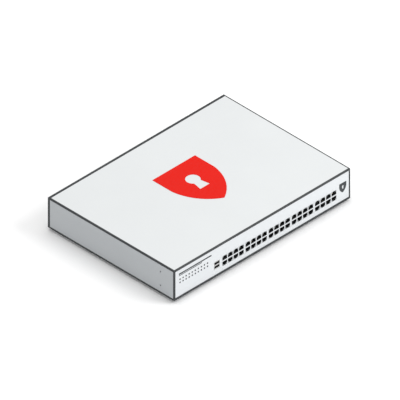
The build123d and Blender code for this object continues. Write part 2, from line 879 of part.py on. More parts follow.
# ---------------------------------------------------------------- build every node
def build_case():
    save("front_frame", front_frame())
    save("rear_frame", rear_frame())
    for level_name, level in (("top", 1), ("bottom", -1)):
        for side_name, side in (("left", -1), ("right", 1)):
            save(f"rail_{level_name}_{side_name}", rail(side, level))
    save("top_cover", top_cover())
    save("bottom_pan", bottom_pan())
    save("left_side_panel", side_panel(-1))
    save("right_side_panel", side_panel(1))
    save("front_fascia", front_fascia())
    save("rear_panel", rear_panel())
    save("rubber_feet", *[rubber_foot(x, y) for x, y in foot_places()])
    save("top_badge", top_badge())
    save("front_badges", *front_badges())


def build_front():
    for gang in range(gang_count):
        save(f"port_frame_{gang + 1}", port_frame(gang))
        save(f"jack_housing_{gang + 1}", jack_housing(gang))
    save("jack_shields", *[jack_shield(gang) for gang in range(gang_count)])
    save("usb_shell", usb_shell())
    save("usb_insulators", *usb_insulators())
    save("light_pipe_array", light_pipe_array())
    save("status_board", status_board())
    save("status_lights", *status_lights())


def build_inside():
    main_back = main_front + main_depth
    save("mainboard", board(main_left, main_right, main_front, main_back, main_supports))
    save("psu_board", board(psu_left, psu_right, psu_front, psu_back, psu_supports))
    save("board_supports", *board_supports())
    save("processor", chip(-58, -70, 36))
    save("processor_heatsink", heatsink(-58, -70, 58, 30, 12))
    save("network_chip", chip(90, -75, 40))
    save("network_heatsink", heatsink(90, -75, 66, 22, 13))
    save("memory_module", memory_module())
    save("memory_socket", memory_socket())
    save("coin_cell", coin_cell())
    save("coin_cell_holder", coin_cell_holder())
    save("transformer_core", transformer_core())
    save("transformer_winding", transformer_winding())
    save("psu_capacitors", *psu_capacitors())
    save("psu_heatsinks", *psu_heatsinks())


def build_rear():
    for name, centre in zip(("left", "right"), fan_centres):
        save(f"fan_housing_{name}", fan_housing(centre))
        save(f"fan_rotor_{name}", fan_rotor(centre))
    save("ac_inlet", ac_inlet())
    save("inlet_pins", *inlet_pins())
    save("switch_body", switch_body())
    save("power_rocker", power_rocker())
    save("ground_stud", ground_stud())


def build_fasteners_and_leads():
    save("case_screws", *frame_screws(), *cover_screws())
    save("dc_harness", *dc_harness())
    save("fan_leads", *fan_leads())
    save("inlet_leads", *inlet_leads())
    save("status_ribbon", *status_ribbon())


build_case()
build_front()
build_inside()
build_rear()
build_fasteners_and_leads()
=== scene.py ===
import json
import math

import bmesh
import bpy
from mathutils import Matrix, Vector
from mathutils.bvhtree import BVHTree


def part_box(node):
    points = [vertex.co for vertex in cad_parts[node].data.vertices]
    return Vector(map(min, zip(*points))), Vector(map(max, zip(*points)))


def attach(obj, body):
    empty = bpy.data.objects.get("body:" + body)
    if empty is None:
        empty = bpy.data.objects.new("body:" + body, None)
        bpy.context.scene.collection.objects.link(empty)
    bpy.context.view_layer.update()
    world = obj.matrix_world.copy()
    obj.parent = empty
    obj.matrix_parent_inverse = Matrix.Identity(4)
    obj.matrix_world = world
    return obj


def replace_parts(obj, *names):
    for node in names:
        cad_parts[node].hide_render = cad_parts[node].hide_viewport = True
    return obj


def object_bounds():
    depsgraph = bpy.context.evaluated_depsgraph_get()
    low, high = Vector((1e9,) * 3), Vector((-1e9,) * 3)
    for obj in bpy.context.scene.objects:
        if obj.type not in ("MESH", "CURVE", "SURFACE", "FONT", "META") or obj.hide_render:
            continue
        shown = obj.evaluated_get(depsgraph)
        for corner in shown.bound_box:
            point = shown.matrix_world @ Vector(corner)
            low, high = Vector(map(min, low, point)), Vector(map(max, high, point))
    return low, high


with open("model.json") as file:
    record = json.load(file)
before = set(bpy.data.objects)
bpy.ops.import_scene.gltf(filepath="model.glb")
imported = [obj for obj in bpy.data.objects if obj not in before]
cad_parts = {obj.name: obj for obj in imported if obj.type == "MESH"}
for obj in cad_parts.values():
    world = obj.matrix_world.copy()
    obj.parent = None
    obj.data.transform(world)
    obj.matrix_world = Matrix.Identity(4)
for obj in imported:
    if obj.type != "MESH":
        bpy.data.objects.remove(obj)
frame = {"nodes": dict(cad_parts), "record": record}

bl_info = {
    "name": "Firewall Appliance",
    "version": (1, 0, 0),
    "blender": (4, 5, 0),
    "location": "View3D > Sidebar > Appliance",
    "description": "Finishes and details a rack-width firewall appliance",
    "category": "Object",
}

CAD_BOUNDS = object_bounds()
NODES = frame["nodes"]
ROOT = "case"
MM = 0.001

# The whole case and the front plane, read from the frame
LOW, HIGH = CAD_BOUNDS
FASCIA_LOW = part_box("front_fascia")[0]
PORT_FRAMES = [f"port_frame_{i}" for i in range(1, 6)]

# The jacks' grid inside each port frame
JACK_COLUMNS = 4
JACK_PITCH = 13.97 * MM
JACK_ROW = 4.75 * MM      # from the frame's middle to a jack's middle
WINDOW_ACROSS = 4.75 * MM    # from a jack's middle to its light windows
WINDOW_OUT = 4.7 * MM
CONTACTS = 8
CONTACT_PITCH = 1.02 * MM

# Fasteners
SCREW_HEAD_HEIGHT = 1.8 * MM
SCREW_RADIUS = 1.5 * MM
FAN_SCREW_SPREAD = 16 * MM    # from a fan's middle, across and up
FAN_SCREW_SHANK = 10 * MM
RIVETS = 6                    # along each lower rail
FIRST_RIVET, RIVET_STEP = 0.08, 0.168    # as shares of the floor's depth

# Impellers
HUB_RADIUS = 10.0 * MM
BLADE_TIP = 18.1 * MM
BLADE_THICKNESS = 1.0 * MM
BLADES = 7
SHAFT_RADIUS, SHAFT_REACH = 1.5 * MM, 1.1 * MM


# ---------------------------------------------------------------- settings
def length(name, text, default):
    return bpy.props.FloatProperty(
        name=name, description=text, default=default, min=0.0, unit="LENGTH", precision=5
    )


def colour(name, text, default):
    return bpy.props.FloatVectorProperty(
        name=name, description=text, default=default, size=3, min=0.0, max=1.0, subtype="COLOR"
    )


class ApplianceSizes(bpy.types.PropertyGroup):
    """Sizes of the small pieces that are added to the case."""

    screw_head: length("Screw head", "Radius of a pan head", 2.8 * MM)
    screw_socket: length("Screw socket", "Radius of the six-lobe socket", 1.35 * MM)
    screw_socket_depth: length("Socket depth", "Depth of the six-lobe socket", 0.9 * MM)
    window_width: length("Window width", "Width of a jack's light window", 2.1 * MM)
    window_height: length("Window height", "Height of a jack's light window", 1.5 * MM)
    window_proud: length("Window proud", "How far a light window stands out", 0.12 * MM)
    stud_pitch: length("Stud pitch", "Thread pitch of the earth stud", 0.8 * MM)
    mark_line: length("Mark line", "Line width of the printed symbols", 0.8 * MM)


class ApplianceFinishes(bpy.types.PropertyGroup):
    """Colours of the finishes, as linear values."""

    panel_light: colour("Light panels", "Powder coat of the top cover", (0.68, 0.70, 0.705))
    # The mid grey of the sides and back is partly their own grey paint and partly painted shade: it is
    # darker than the top so the sides look shaded.
    side_paint_and_painted_shade: colour("Side panels", "Powder coat of the sides and back", (0.44, 0.46, 0.475))
    frame_edge: colour("Frames", "Powder coat of the frames and rails", (0.017, 0.021, 0.024))
    fascia: colour("Fascia", "Moulding of the front", (0.73, 0.755, 0.775))
    badge: colour("Top badge", "Enamel of the top emblem", (0.70, 0.008, 0.002))
    small_badge: colour("Front badge", "Enamel of the front emblem", (0.036, 0.043, 0.047))
    moulding_black: colour("Black mouldings", "Jacks, inlet and switch", (0.017, 0.019, 0.021))
    smoked: colour("Smoked lenses", "Light pipes on the front", (0.012, 0.014, 0.016))


class ApplianceStage(bpy.types.PropertyGroup):
    """Camera and floor."""

    view_width: length("View width", "Width that the camera sees", 0.714)
    shift_across: length("Shift across", "Camera's shift to its right", 4.2 * MM)
    shift_up: length("Shift up", "Camera's shift upwards", 25.3 * MM)
    azimuth: bpy.props.FloatProperty(
        name="Azimuth", description="Camera's turn from the front", default=math.radians(-45),
        subtype="ANGLE",
    )
    elevation: bpy.props.FloatProperty(
        name="Elevation", description="Camera's height angle", default=math.radians(35.9),
        subtype="ANGLE",
    )
    floor: colour("Floor", "Colour of the floor", (0.955, 0.955, 0.955))


def sizes():
    return bpy.context.scene.appliance_sizes


def finishes():
    return bpy.context.scene.appliance_finishes


# ---------------------------------------------------------------- node trees
def add(tree, kind, inputs=None, **settings):
    """Adds a node, sets its settings, and sets or links its inputs by name or number."""
    node = tree.nodes.new(kind)
    for name, value in settings.items():
        setattr(node, name, value)
    for name, value in (inputs or {}).items():
        socket = node.inputs[name]
        if isinstance(value, bpy.types.NodeSocket):
            tree.links.new(value, socket)
        else:
            socket.default_value = value
    return node


def maths(tree, operation, *values, clamp=False):
    node = add(tree, "ShaderNodeMath", dict(enumerate(values)), operation=operation, use_clamp=clamp)
    return node.outputs[0]


def spread(tree, value, low, high, to_low, to_high):
    """Maps a value from one range to another, held inside the second."""
    inputs = {"Value": value, "From Min": low, "From Max": high, "To Min": to_low, "To Max": to_high}
    return add(tree, "ShaderNodeMapRange", inputs).outputs["Result"]


def noise(tree, vector, scale, detail=2.0, rough=0.5):
    inputs = {"Vector": vector, "Scale": scale, "Detail": detail, "Roughness": rough}
    return add(tree, "ShaderNodeTexNoise", inputs).outputs["Fac"]


def mix(tree, mask, first, second):
    """Mixes two colours by a mask."""
    node = add(tree, "ShaderNodeMix", data_type="RGBA", clamp_factor=True)
    for socket, value in zip((node.inputs[0], node.inputs[6], node.inputs[7]), (mask, first, second)):
        if isinstance(value, bpy.types.NodeSocket):
            tree.links.new(value, socket)
        else:
            socket.default_value = value
    return node.outputs[2]


def new_group(name, inputs, outputs):
    """A shader node group with float or vector inputs and outputs. Returns the tree and its ends."""
    tree = bpy.data.node_groups.new(name, "ShaderNodeTree")
    for label, kind, default in inputs:
        socket = tree.interface.new_socket(label, in_out="INPUT", socket_type=kind)
        if default is not None:
            socket.default_value = default
    for label, kind in outputs:
        tree.interface.new_socket(label, in_out="OUTPUT", socket_type=kind)
    return tree, tree.nodes.new("NodeGroupInput").outputs, tree.nodes.new("NodeGroupOutput").inputs


FLOAT, VECTOR = "NodeSocketFloat", "NodeSocketVector"


def make_grain_group():
    """Fine relief of a coating or moulding, and a slow drift of tone across it."""
    tree, given, out = new_group(
        "Coating grain",
        [("Vector", VECTOR, None), ("Grain", FLOAT, 1500.0), ("Drift", FLOAT, 9.0)],
        [("Height", FLOAT), ("Tone", FLOAT)],
    )
    fine = noise(tree, given["Vector"], given["Grain"], 3.0, 0.6)
    cells = add(
        tree, "ShaderNodeTexVoronoi", {"Vector": given["Vector"], "Scale": given["Grain"]},
        feature="SMOOTH_F1",
    ).outputs["Distance"]
    height = maths(tree, "MULTIPLY_ADD", cells, 0.6, fine)
    slow = noise(tree, given["Vector"], given["Drift"], 4.0, 0.55)
    tree.links.new(height, out["Height"])
    tree.links.new(slow, out["Tone"])


def make_edge_group():
    """A mask that is 1 on outer edges, broken up as real rubbing is."""
    tree, given, out = new_group(
        "Edge rub",
        [("Vector", VECTOR, None), ("Radius", FLOAT, 0.0008), ("Amount", FLOAT, 0.5)],
        [("Mask", FLOAT)],
    )
    rounded = add(tree, "ShaderNodeBevel", {"Radius": given["Radius"]}, samples=6).outputs["Normal"]
    flat = add(tree, "ShaderNodeNewGeometry").outputs["Normal"]
    alike = add(tree, "ShaderNodeVectorMath", {0: rounded, 1: flat}, operation="DOT_PRODUCT")
    edge = spread(tree, alike.outputs["Value"], 0.985, 0.8, 0.0, 1.0)
    broken = spread(tree, noise(tree, given["Vector"], 260.0, 4.0, 0.65), 0.42, 0.62, 0.0, 1.0)
    worn = maths(tree, "MULTIPLY", edge, broken)
    tree.links.new(maths(tree, "MULTIPLY", worn, given["Amount"]), out["Mask"])


def make_dust_group():
    """A mask of settled dust on faces that look up."""
    tree, given, out = new_group(
        "Settled dust", [("Vector", VECTOR, None), ("Amount", FLOAT, 0.1)], [("Mask", FLOAT)]
    )
    normal = add(tree, "ShaderNodeNewGeometry").outputs["Normal"]
    up = add(tree, "ShaderNodeSeparateXYZ", {0: normal}).outputs["Z"]
    facing = spread(tree, up, 0.55, 1.0, 0.0, 1.0)
    patches = spread(tree, noise(tree, given["Vector"], 38.0, 6.0, 0.7), 0.35, 0.75, 0.2, 1.0)
    settled = maths(tree, "MULTIPLY", facing, patches)
    tree.links.new(maths(tree, "MULTIPLY", settled, given["Amount"]), out["Mask"])


def make_smudge_group():
    """Slow patches where a surface has been wiped or handled, for its roughness."""
    tree, given, out = new_group(
        "Handling", [("Vector", VECTOR, None), ("Scale", FLOAT, 22.0)], [("Mask", FLOAT)]
    )
    broad = noise(tree, given["Vector"], given["Scale"], 5.0, 0.6)
    tree.links.new(spread(tree, broad, 0.35, 0.7, 0.0, 1.0), out["Mask"])


def make_brushed_group():
    """Fine parallel scratches along X, as on plated or milled metal."""
    tree, given, out = new_group(
        "Drawn metal", [("Vector", VECTOR, None), ("Scale", FLOAT, 900.0)], [("Height", FLOAT)]
    )
    stretched = add(
        tree, "ShaderNodeVectorMath", {0: given["Vector"], 1: (0.03, 1.0, 1.0)}, operation="MULTIPLY"
    ).outputs["Vector"]
    tree.links.new(noise(tree, stretched, given["Scale"], 3.0, 0.6), out["Height"])


def make_groups():
    make_grain_group()
    make_edge_group()
    make_dust_group()
    make_smudge_group()
    make_brushed_group()


# ---------------------------------------------------------------- materials
def use(tree, group, vector, **inputs):
    """Places a shared group in a material."""
    node = tree.nodes.new("ShaderNodeGroup")
    node.node_tree = bpy.data.node_groups[group]
    tree.links.new(vector, node.inputs["Vector"])
    for name, value in inputs.items():
        node.inputs[name].default_value = value
    return node.outputs


def opaque(rgb):
    return (*rgb, 1.0)


def toned(rgb, factor):
    return (*[min(1.0, c * factor) for c in rgb], 1.0)


def start_material(name):
    material = bpy.data.materials.new(name)
    material.use_nodes = True
    tree = material.node_tree
    shader = tree.nodes["Principled BSDF"]
    place = add(tree, "ShaderNodeTexCoord").outputs["Object"]
    return material, tree, shader, place


def finish_surface(tree, shader, colour, roughness, height, depth):
    tree.links.new(colour, shader.inputs["Base Color"])
    tree.links.new(roughness, shader.inputs["Roughness"])
    soft = add(tree, "ShaderNodeBevel", {"Radius": 0.25 * MM}, samples=4).outputs["Normal"]
    bump = add(tree, "ShaderNodeBump", {
        "Height": height, "Distance": depth, "Strength": 0.6, "Normal": soft,
    })
    tree.links.new(bump.outputs["Normal"], shader.inputs["Normal"])


def coated(name, rgb, grain=1500.0, depth=0.00004, roughness=(0.42, 0.55), rub=0.25, dust=0.05,
           metal_under=(0.5, 0.51, 0.52), drift=0.03):
    """Powder coat on metal: orange-peel relief, rubbed edges and a little dust."""
    material, tree, shader, place = start_material(name)
    coat = use(tree, "Coating grain", place, Grain=grain)
    rubbed = use(tree, "Edge rub", place, Radius=0.0006, Amount=rub)
    dusty = use(tree, "Settled dust", place, Amount=dust)
    handled = use(tree, "Handling", place)
    base = mix(tree, coat["Tone"], toned(rgb, 1 - drift), toned(rgb, 1 + drift))
    base = mix(tree, rubbed["Mask"], base, opaque(metal_under))
    base = mix(tree, dusty["Mask"], base, (0.62, 0.6, 0.57, 1.0))
    rough = spread(tree, handled["Mask"], 0.0, 1.0, *roughness)
    finish_surface(tree, shader, base, rough, coat["Height"], depth)
    return material


def moulded(name, rgb, grain=2600.0, depth=0.00003, roughness=(0.38, 0.5), rub=0.12, dust=0.04,
            drift=0.025):
    """Moulded plastic with a spark-eroded skin and slightly polished edges."""
    material, tree, shader, place = start_material(name)
    skin = use(tree, "Coating grain", place, Grain=grain)
    rubbed = use(tree, "Edge rub", place, Radius=0.0004, Amount=rub)
    dusty = use(tree, "Settled dust", place, Amount=dust)
    handled = use(tree, "Handling", place)
    base = mix(tree, skin["Tone"], toned(rgb, 1 - drift), toned(rgb, 1 + drift))
    light = [c + (1 - c) * 0.25 for c in rgb]
    base = mix(tree, rubbed["Mask"], base, opaque(light))
    base = mix(tree, dusty["Mask"], base, (0.6, 0.59, 0.57, 1.0))
    rough = spread(tree, handled["Mask"], 0.0, 1.0, *roughness)
    finish_surface(tree, shader, base, rough, skin["Height"], depth)
    return material


def enamelled(name, rgb, roughness=(0.18, 0.3), coat=0.5):
    """Satin enamel under a clear coat."""
    material, tree, shader, place = start_material(name)
    skin = use(tree, "Coating grain", place, Grain=420.0)
    handled = use(tree, "Handling", place, Scale=30.0)
    base = mix(tree, skin["Tone"], toned(rgb, 0.94), toned(rgb, 1.05))
    rough = spread(tree, handled["Mask"], 0.0, 1.0, *roughness)
    finish_surface(tree, shader, base, rough, skin["Height"], 0.00002)
    shader.inputs["Specular IOR Level"].default_value = 0.12
    shader.inputs["Coat Weight"].default_value = coat
    shader.inputs["Coat Roughness"].default_value = 0.12
    return material


def metal(name, rgb, roughness=(0.22, 0.38), scale=900.0, depth=0.00002, tarnish=0.12):
    """Bare or plated metal with drawn lines and slow tarnish."""
    material, tree, shader, place = start_material(name)
    drawn = use(tree, "Drawn metal", place, Scale=scale)
    handled = use(tree, "Handling", place, Scale=60.0)
    base = mix(tree, handled["Mask"], toned(rgb, 1.0), toned(rgb, 1 - tarnish))
    rough = spread(tree, drawn["Height"], 0.3, 0.7, *roughness)
    finish_surface(tree, shader, base, rough, drawn["Height"], depth)
    shader.inputs["Metallic"].default_value = 1.0
    return material


def laminate(name, rgb):
    """Solder mask over copper tracks that run in both directions."""
    material, tree, shader, place = start_material(name)
    across = add(tree, "ShaderNodeTexBrick", {
        "Vector": place, "Scale": 160.0, "Mortar Size": 0.012, "Brick Width": 1.3, "Row Height": 0.21,
        "Color1": (0, 0, 0, 1), "Color2": (0.3, 0.3, 0.3, 1), "Mortar": (1, 1, 1, 1),
    }).outputs["Color"]
    handled = use(tree, "Handling", place, Scale=80.0)
    tracks = maths(tree, "MULTIPLY", across, handled["Mask"], clamp=True)
    base = mix(tree, tracks, opaque(rgb), toned(rgb, 2.4))
    rough = spread(tree, handled["Mask"], 0.0, 1.0, 0.25, 0.4)
    finish_surface(tree, shader, base, rough, across, 0.00003)
    return material


def smoked_lens(name, rgb):
    """Dark clear moulding with a soft depth of tone."""
    material, tree, shader, place = start_material(name)
    skin = use(tree, "Coating grain", place, Grain=900.0)
    handled = use(tree, "Handling", place, Scale=200.0)
    base = mix(tree, skin["Tone"], toned(rgb, 0.8), toned(rgb, 1.3))
    rough = spread(tree, handled["Mask"], 0.0, 1.0, 0.25, 0.36)
    finish_surface(tree, shader, base, rough, skin["Height"], 0.000008)
    shader.inputs["Specular IOR Level"].default_value = 0.35
    shader.inputs["Coat Weight"].default_value = 0.15
    shader.inputs["Coat Roughness"].default_value = 0.12
    return material


def make_materials():
    """One material for every slot of the record, and one for the jacks' contacts."""
    f = finishes()
    black = tuple(f.moulding_black)
    return {
        "frame_graphite": coated(
            "Frame charcoal", f.frame_edge, 1900.0, rub=0.22, dust=0.03, drift=0.08
        ),
        "panel_white": coated("Panel off-white", f.panel_light, rub=0.1),
        "panel_grey": coated("Panel grey and painted shade", f.side_paint_and_painted_shade, rub=0.15),
        # Painted shade: this grey is kept darker than the top partly to stand in for the shade on the
        # sides.
        "fascia_white": moulded("Fascia off-white", f.fascia),
        "port_frame_white": moulded("Port frame off-white", toned(f.fascia, 0.97)[:3], 3200.0),
        "jack_black": moulded("Jack black", black, roughness=(0.3, 0.42)),
        "shield_tin": metal("Tin plate", (0.66, 0.67, 0.68)),
        "contact_gold": metal("Contact gold", (0.86, 0.58, 0.22), (0.16, 0.28), 2000.0),
        "usb_nickel": metal("Nickel plate", (0.56, 0.56, 0.55), (0.2, 0.32)),
        "insulator_black": moulded("Insulator black", black, roughness=(0.28, 0.38)),
        "light_pipe_smoke": smoked_lens("Smoked lens", f.smoked),
        "badge_red": enamelled("Badge red", f.badge, (0.34, 0.46), 0.03),
        "badge_charcoal": enamelled("Badge charcoal", f.small_badge, (0.22, 0.34), 0.3),
        "rubber_black": moulded("Foot rubber", (0.022, 0.022, 0.023), 1400.0, 0.00008, (0.68, 0.82)),
        "board_green": laminate("Board green", (0.012, 0.10, 0.045)),
        "package_black": moulded("Package black", (0.02, 0.02, 0.022), roughness=(0.4, 0.55)),
        "heatsink_aluminium": metal("Extruded aluminium", (0.68, 0.69, 0.7), (0.28, 0.42), 700.0),
        "cell_steel": metal("Cell steel", (0.62, 0.62, 0.61), (0.15, 0.25), 500.0),
        "socket_cream": moulded("Socket cream", (0.55, 0.5, 0.4)),
        "capacitor_sleeve": enamelled("Capacitor sleeve", (0.02, 0.03, 0.09)),
        "ferrite_grey": moulded("Ferrite grey", (0.05, 0.05, 0.053), 1200.0, 0.00006, (0.5, 0.65)),
        "winding_tape": enamelled("Winding tape", (0.62, 0.38, 0.04), (0.3, 0.42), 0.2),
        "fan_black": moulded("Fan black", black, roughness=(0.4, 0.55), dust=0.15),
        "rotor_black": moulded("Impeller black", black, roughness=(0.25, 0.38), dust=0.12),
        "inlet_black": moulded("Inlet black", black, roughness=(0.35, 0.48)),
        "pin_nickel": metal("Pin nickel", (0.66, 0.64, 0.6), (0.16, 0.26)),
        "rocker_black": moulded("Rocker black", black, roughness=(0.2, 0.32)),
        "stud_brass": metal("Stud brass", (0.74, 0.55, 0.26), (0.2, 0.34)),
        "screw_zinc": metal("Zinc plate", (0.5, 0.51, 0.53), (0.26, 0.42), 1400.0),
        "support_nylon": moulded("Support nylon", (0.6, 0.58, 0.52), roughness=(0.35, 0.5)),
        "light_resin": smoked_lens("Light resin", (0.6, 0.62, 0.55)),
        "wire_sheath": moulded("Wire sheath", (0.03, 0.03, 0.032), roughness=(0.4, 0.5)),
        "ribbon_grey": moulded("Ribbon grey", (0.32, 0.33, 0.34), roughness=(0.4, 0.5)),
    }


MATERIALS = {}


# ---------------------------------------------------------------- helpers for pieces
def solids_of(node):
    """The separate solids of a node, each as a list of its points."""
    mesh = bmesh.new()
    mesh.from_mesh(NODES[node].data)
    bmesh.ops.remove_doubles(mesh, verts=mesh.verts, dist=1e-6)
    left = set(mesh.verts)
    solids = []
    while left:
        stack = [left.pop()]
        found = []
        while stack:
            vertex = stack.pop()
            found.append(vertex.co.copy())
            for edge in vertex.link_edges:
                other = edge.other_vert(vertex)
                if other in left:
                    left.remove(other)
                    stack.append(other)
        solids.append(found)
    mesh.free()
    return solids


def new_piece(name, mesh_data, slot, body=ROOT):
    """Links a finished mesh as a piece of its own."""
    piece = bpy.data.objects.new(name, mesh_data)
    bpy.context.scene.collection.objects.link(piece)
    if not mesh_data.materials:
        mesh_data.materials.append(MATERIALS[slot])
    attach(piece, body)
    return piece


def bridge(mesh, loops, closed=False):
    """Adds the faces between each loop of points and the next, and from the last loop back to
    the first if closed is set."""
    following = loops[1:] + loops[:1] if closed else loops[1:]
    for near, far in zip(loops, following):
        for i in range(len(near)):
            j = (i + 1) % len(near)
            mesh.faces.new((near[i], near[j], far[j], far[i]))


def close_ends(mesh, loops):
    mesh.faces.new(list(reversed(loops[0])))
    mesh.faces.new(loops[-1])


def add_box(mesh, low, high):
    """Adds a closed box between two corners."""
    corners = [
        mesh.verts.new((x, y, z))
        for x in (low[0], high[0])
        for y in (low[1], high[1])
        for z in (low[2], high[2])
    ]
    for quad in ((0, 1, 3, 2), (4, 6, 7, 5), (0, 4, 5, 1), (2, 3, 7, 6), (0, 2, 6, 4), (1, 5, 7, 3)):
        mesh.faces.new([corners[i] for i in quad])


def mesh_from(name, mesh):
    """Turns the faces of a bmesh outwards, makes plain mesh data of it and frees it."""
    bmesh.ops.recalc_face_normals(mesh, faces=mesh.faces)
    data = bpy.data.meshes.new(name)
    mesh.to_mesh(data)
    mesh.free()
    return data


def lathe(name, rings, segments, lobes=6):
    """A closed turned form about +Z. Each ring is (radius, height, lobe depth)."""
    mesh = bmesh.new()
    loops = []
    for radius, height, lobe in rings:
        loop = []
        for i in range(segments):
            angle = 2 * math.pi * i / segments
            r = radius + lobe * math.cos(lobes * angle)
            loop.append(mesh.verts.new((r * math.cos(angle), r * math.sin(angle), height)))
        loops.append(loop)
    bridge(mesh, loops)
    close_ends(mesh, loops)
    return mesh_from(name, mesh)


# ---------------------------------------------------------------- geometry nodes
def attribute(tree, name, kind):
    node = add(tree, "GeometryNodeInputNamedAttribute", {"Name": name}, data_type=kind)
    return node.outputs["Attribute"]


def repeat_tree(name, stretched):
    """Geometry Nodes that stand a piece on every point, turned to the point's aim. With
    stretched set, each copy is as long as the point's reach."""
    tree = bpy.data.node_groups.new(name, "GeometryNodeTree")
    face = tree.interface
    face.new_socket("Geometry", in_out="INPUT", socket_type="NodeSocketGeometry")
    face.new_socket("Piece", in_out="INPUT", socket_type="NodeSocketObject")
    face.new_socket("Size", in_out="INPUT", socket_type=FLOAT).default_value = 1.0
    face.new_socket("Material", in_out="INPUT", socket_type="NodeSocketMaterial")
    face.new_socket("Geometry", in_out="OUTPUT", socket_type="NodeSocketGeometry")
    given = tree.nodes.new("NodeGroupInput").outputs
    out = tree.nodes.new("NodeGroupOutput").inputs
    piece = add(tree, "GeometryNodeObjectInfo", {"Object": given["Piece"]}).outputs["Geometry"]
    aim = attribute(tree, "aim", "FLOAT_VECTOR")
    turn = add(tree, "FunctionNodeAlignRotationToVector", {"Vector": aim}, axis="Z")
    scale = given["Size"]
    if stretched:
        scale = add(tree, "ShaderNodeCombineXYZ", {
            "X": given["Size"], "Y": given["Size"], "Z": attribute(tree, "reach", "FLOAT"),
        }).outputs[0]
    copies = add(tree, "GeometryNodeInstanceOnPoints", {
        "Points": given["Geometry"], "Instance": piece, "Rotation": turn.outputs["Rotation"],
        "Scale": scale,
    }).outputs["Instances"]
    real = add(tree, "GeometryNodeRealizeInstances", {"Geometry": copies}).outputs["Geometry"]
    done = add(tree, "GeometryNodeSetMaterial", {"Geometry": real, "Material": given["Material"]})
    tree.links.new(done.outputs["Geometry"], out["Geometry"])
    return tree


def repeat(name, tree, piece_mesh, places, slot, size=1.0):
    """Runs a repeat tree over places, each (point, aim, reach), and returns a plain mesh."""
    points = bpy.data.meshes.new(name + " places")
    points.from_pydata([p for p, aim, reach in places], [], [])
    points.attributes.new("aim", "FLOAT_VECTOR", "POINT")
    points.attributes.new("reach", "FLOAT", "POINT")
    for i, (point, aim, reach) in enumerate(places):
        points.attributes["aim"].data[i].vector = aim
        points.attributes["reach"].data[i].value = reach
    holder = bpy.data.objects.new(name + " holder", points)
    source = bpy.data.objects.new(name + " source", piece_mesh)
    for made in (holder, source):
        bpy.context.scene.collection.objects.link(made)
    modifier = holder.modifiers.new("Repeat", "NODES")
    modifier.node_group = tree
    keys = {s.name: s.identifier for s in tree.interface.items_tree if s.in_out == "INPUT"}
    modifier[keys["Piece"]] = source
    modifier[keys["Size"]] = size
    modifier[keys["Material"]] = MATERIALS[slot]
    bpy.context.view_layer.update()
    evaluated = holder.evaluated_get(bpy.context.evaluated_depsgraph_get())
    mesh = bpy.data.meshes.new_from_object(evaluated)
    mesh.name = name
    holder.modifiers.clear()
    for made in (holder, source):
        bpy.data.objects.remove(made)
    return mesh


def join_meshes(name, meshes):
    """Several meshes with one material as one mesh."""
    joined = bmesh.new()
    for mesh in meshes:
        joined.from_mesh(mesh)
    data = bpy.data.meshes.new(name)
    joined.to_mesh(data)
    joined.free()
    for material in meshes[0].materials:
        data.materials.append(material)
    return data


# ---------------------------------------------------------------- screws
def screw_places(node):
    """For each screw of a node: the middle of its head's outer face, the way it faces along Y and
    its whole length."""
    places = []
    for points in solids_of(node):
        low = Vector(min(p[i] for p in points) for i in range(3))
        high = Vector(max(p[i] for p in points) for i in range(3))
        middle = (low + high) / 2
        reach = max(math.hypot(p.x - middle.x, p.z - middle.z) for p in points)
        wide = [p.y for p in points if math.hypot(p.x - middle.x, p.z - middle.z) > 0.9 * reach]
        sign = 1 if sum(wide) / len(wide) > middle.y else -1
        outer = Vector((middle.x, high.y if sign > 0 else low.y, middle.z))
        places.append((outer, Vector((0, sign, 0)), high.y - low.y))
    return places


def screw_head_mesh():
    """A pan head about +Z with its crown at zero and a six-lobe socket."""
    s = sizes()
    r, socket, deep = s.screw_head, s.screw_socket, s.screw_socket_depth
    lobe = socket * 0.13
    rings = [
        (r, -SCREW_HEAD_HEIGHT, 0), (r, -1.15 * MM, 0),
        (r * 0.96, -0.7 * MM, 0), (r * 0.86, -0.36 * MM, 0),
        (r * 0.7, -0.12 * MM, 0), (r * 0.56, 0, 0), (socket * 1.06, 0, lobe),
        (socket, -0.06 * MM, lobe), (socket * 0.96, -deep, lobe), (socket * 0.4, -deep * 1.25, 0),
    ]
    return lathe("Pan head", rings, 36)


def shank_mesh():
    """One unit of shank under a head, with a small chamfer at its tip."""
    r = SCREW_RADIUS
    return lathe("Shank", [(r * 0.7, -1.0, 0), (r, -0.96, 0), (r, 0, 0)], 16)


def fan_screw_places():
    """Four screws through the rear panel into the corners of each fan."""
    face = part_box("rear_panel")[1].y
    places = []
    for node in ("fan_housing_left", "fan_housing_right"):
        low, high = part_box(node)
        x, z = (low.x + high.x) / 2, (low.z + high.z) / 2
        for dx in (-FAN_SCREW_SPREAD, FAN_SCREW_SPREAD):
            for dz in (-FAN_SCREW_SPREAD, FAN_SCREW_SPREAD):
                outer = Vector((x + dx, face + SCREW_HEAD_HEIGHT, z + dz))
                places.append((outer, Vector((0, 1, 0)), SCREW_HEAD_HEIGHT + FAN_SCREW_SHANK))
    return places


def build_screws(name, node):
    """Socketed screws in place of the node's plain ones, with the fans' screws among them."""
    places = screw_places(node) + fan_screw_places()
    head = SCREW_HEAD_HEIGHT
    crowns = [(outer, aim, 1.0) for outer, aim, whole in places]
    shanks = [(outer - aim * head, aim, whole - head) for outer, aim, whole in places]
    zinc = "screw_zinc"
    heads = repeat(name + " heads", repeat_tree("Screw heads", False), screw_head_mesh(), crowns, zinc)
    stems = repeat(name + " stems", repeat_tree("Screw stems", True), shank_mesh(), shanks, zinc)
    piece = new_piece(name, join_meshes(name, [heads, stems]), "screw_zinc")
    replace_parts(piece, node)


def rivet_mesh():
    """A blind rivet about +Z with its rim at zero and a hollow where the mandrel broke off."""
    rings = [
        (1.5 * MM, -1.0 * MM, 0), (1.5 * MM, 0, 0), (3.0 * MM, 0, 0), (2.7 * MM, 0.45 * MM, 0),
        (2.0 * MM, 0.75 * MM, 0), (1.0 * MM, 0.8 * MM, 0), (0.85 * MM, 0.2 * MM, 0),
    ]
    return lathe("Rivet", rings, 24)


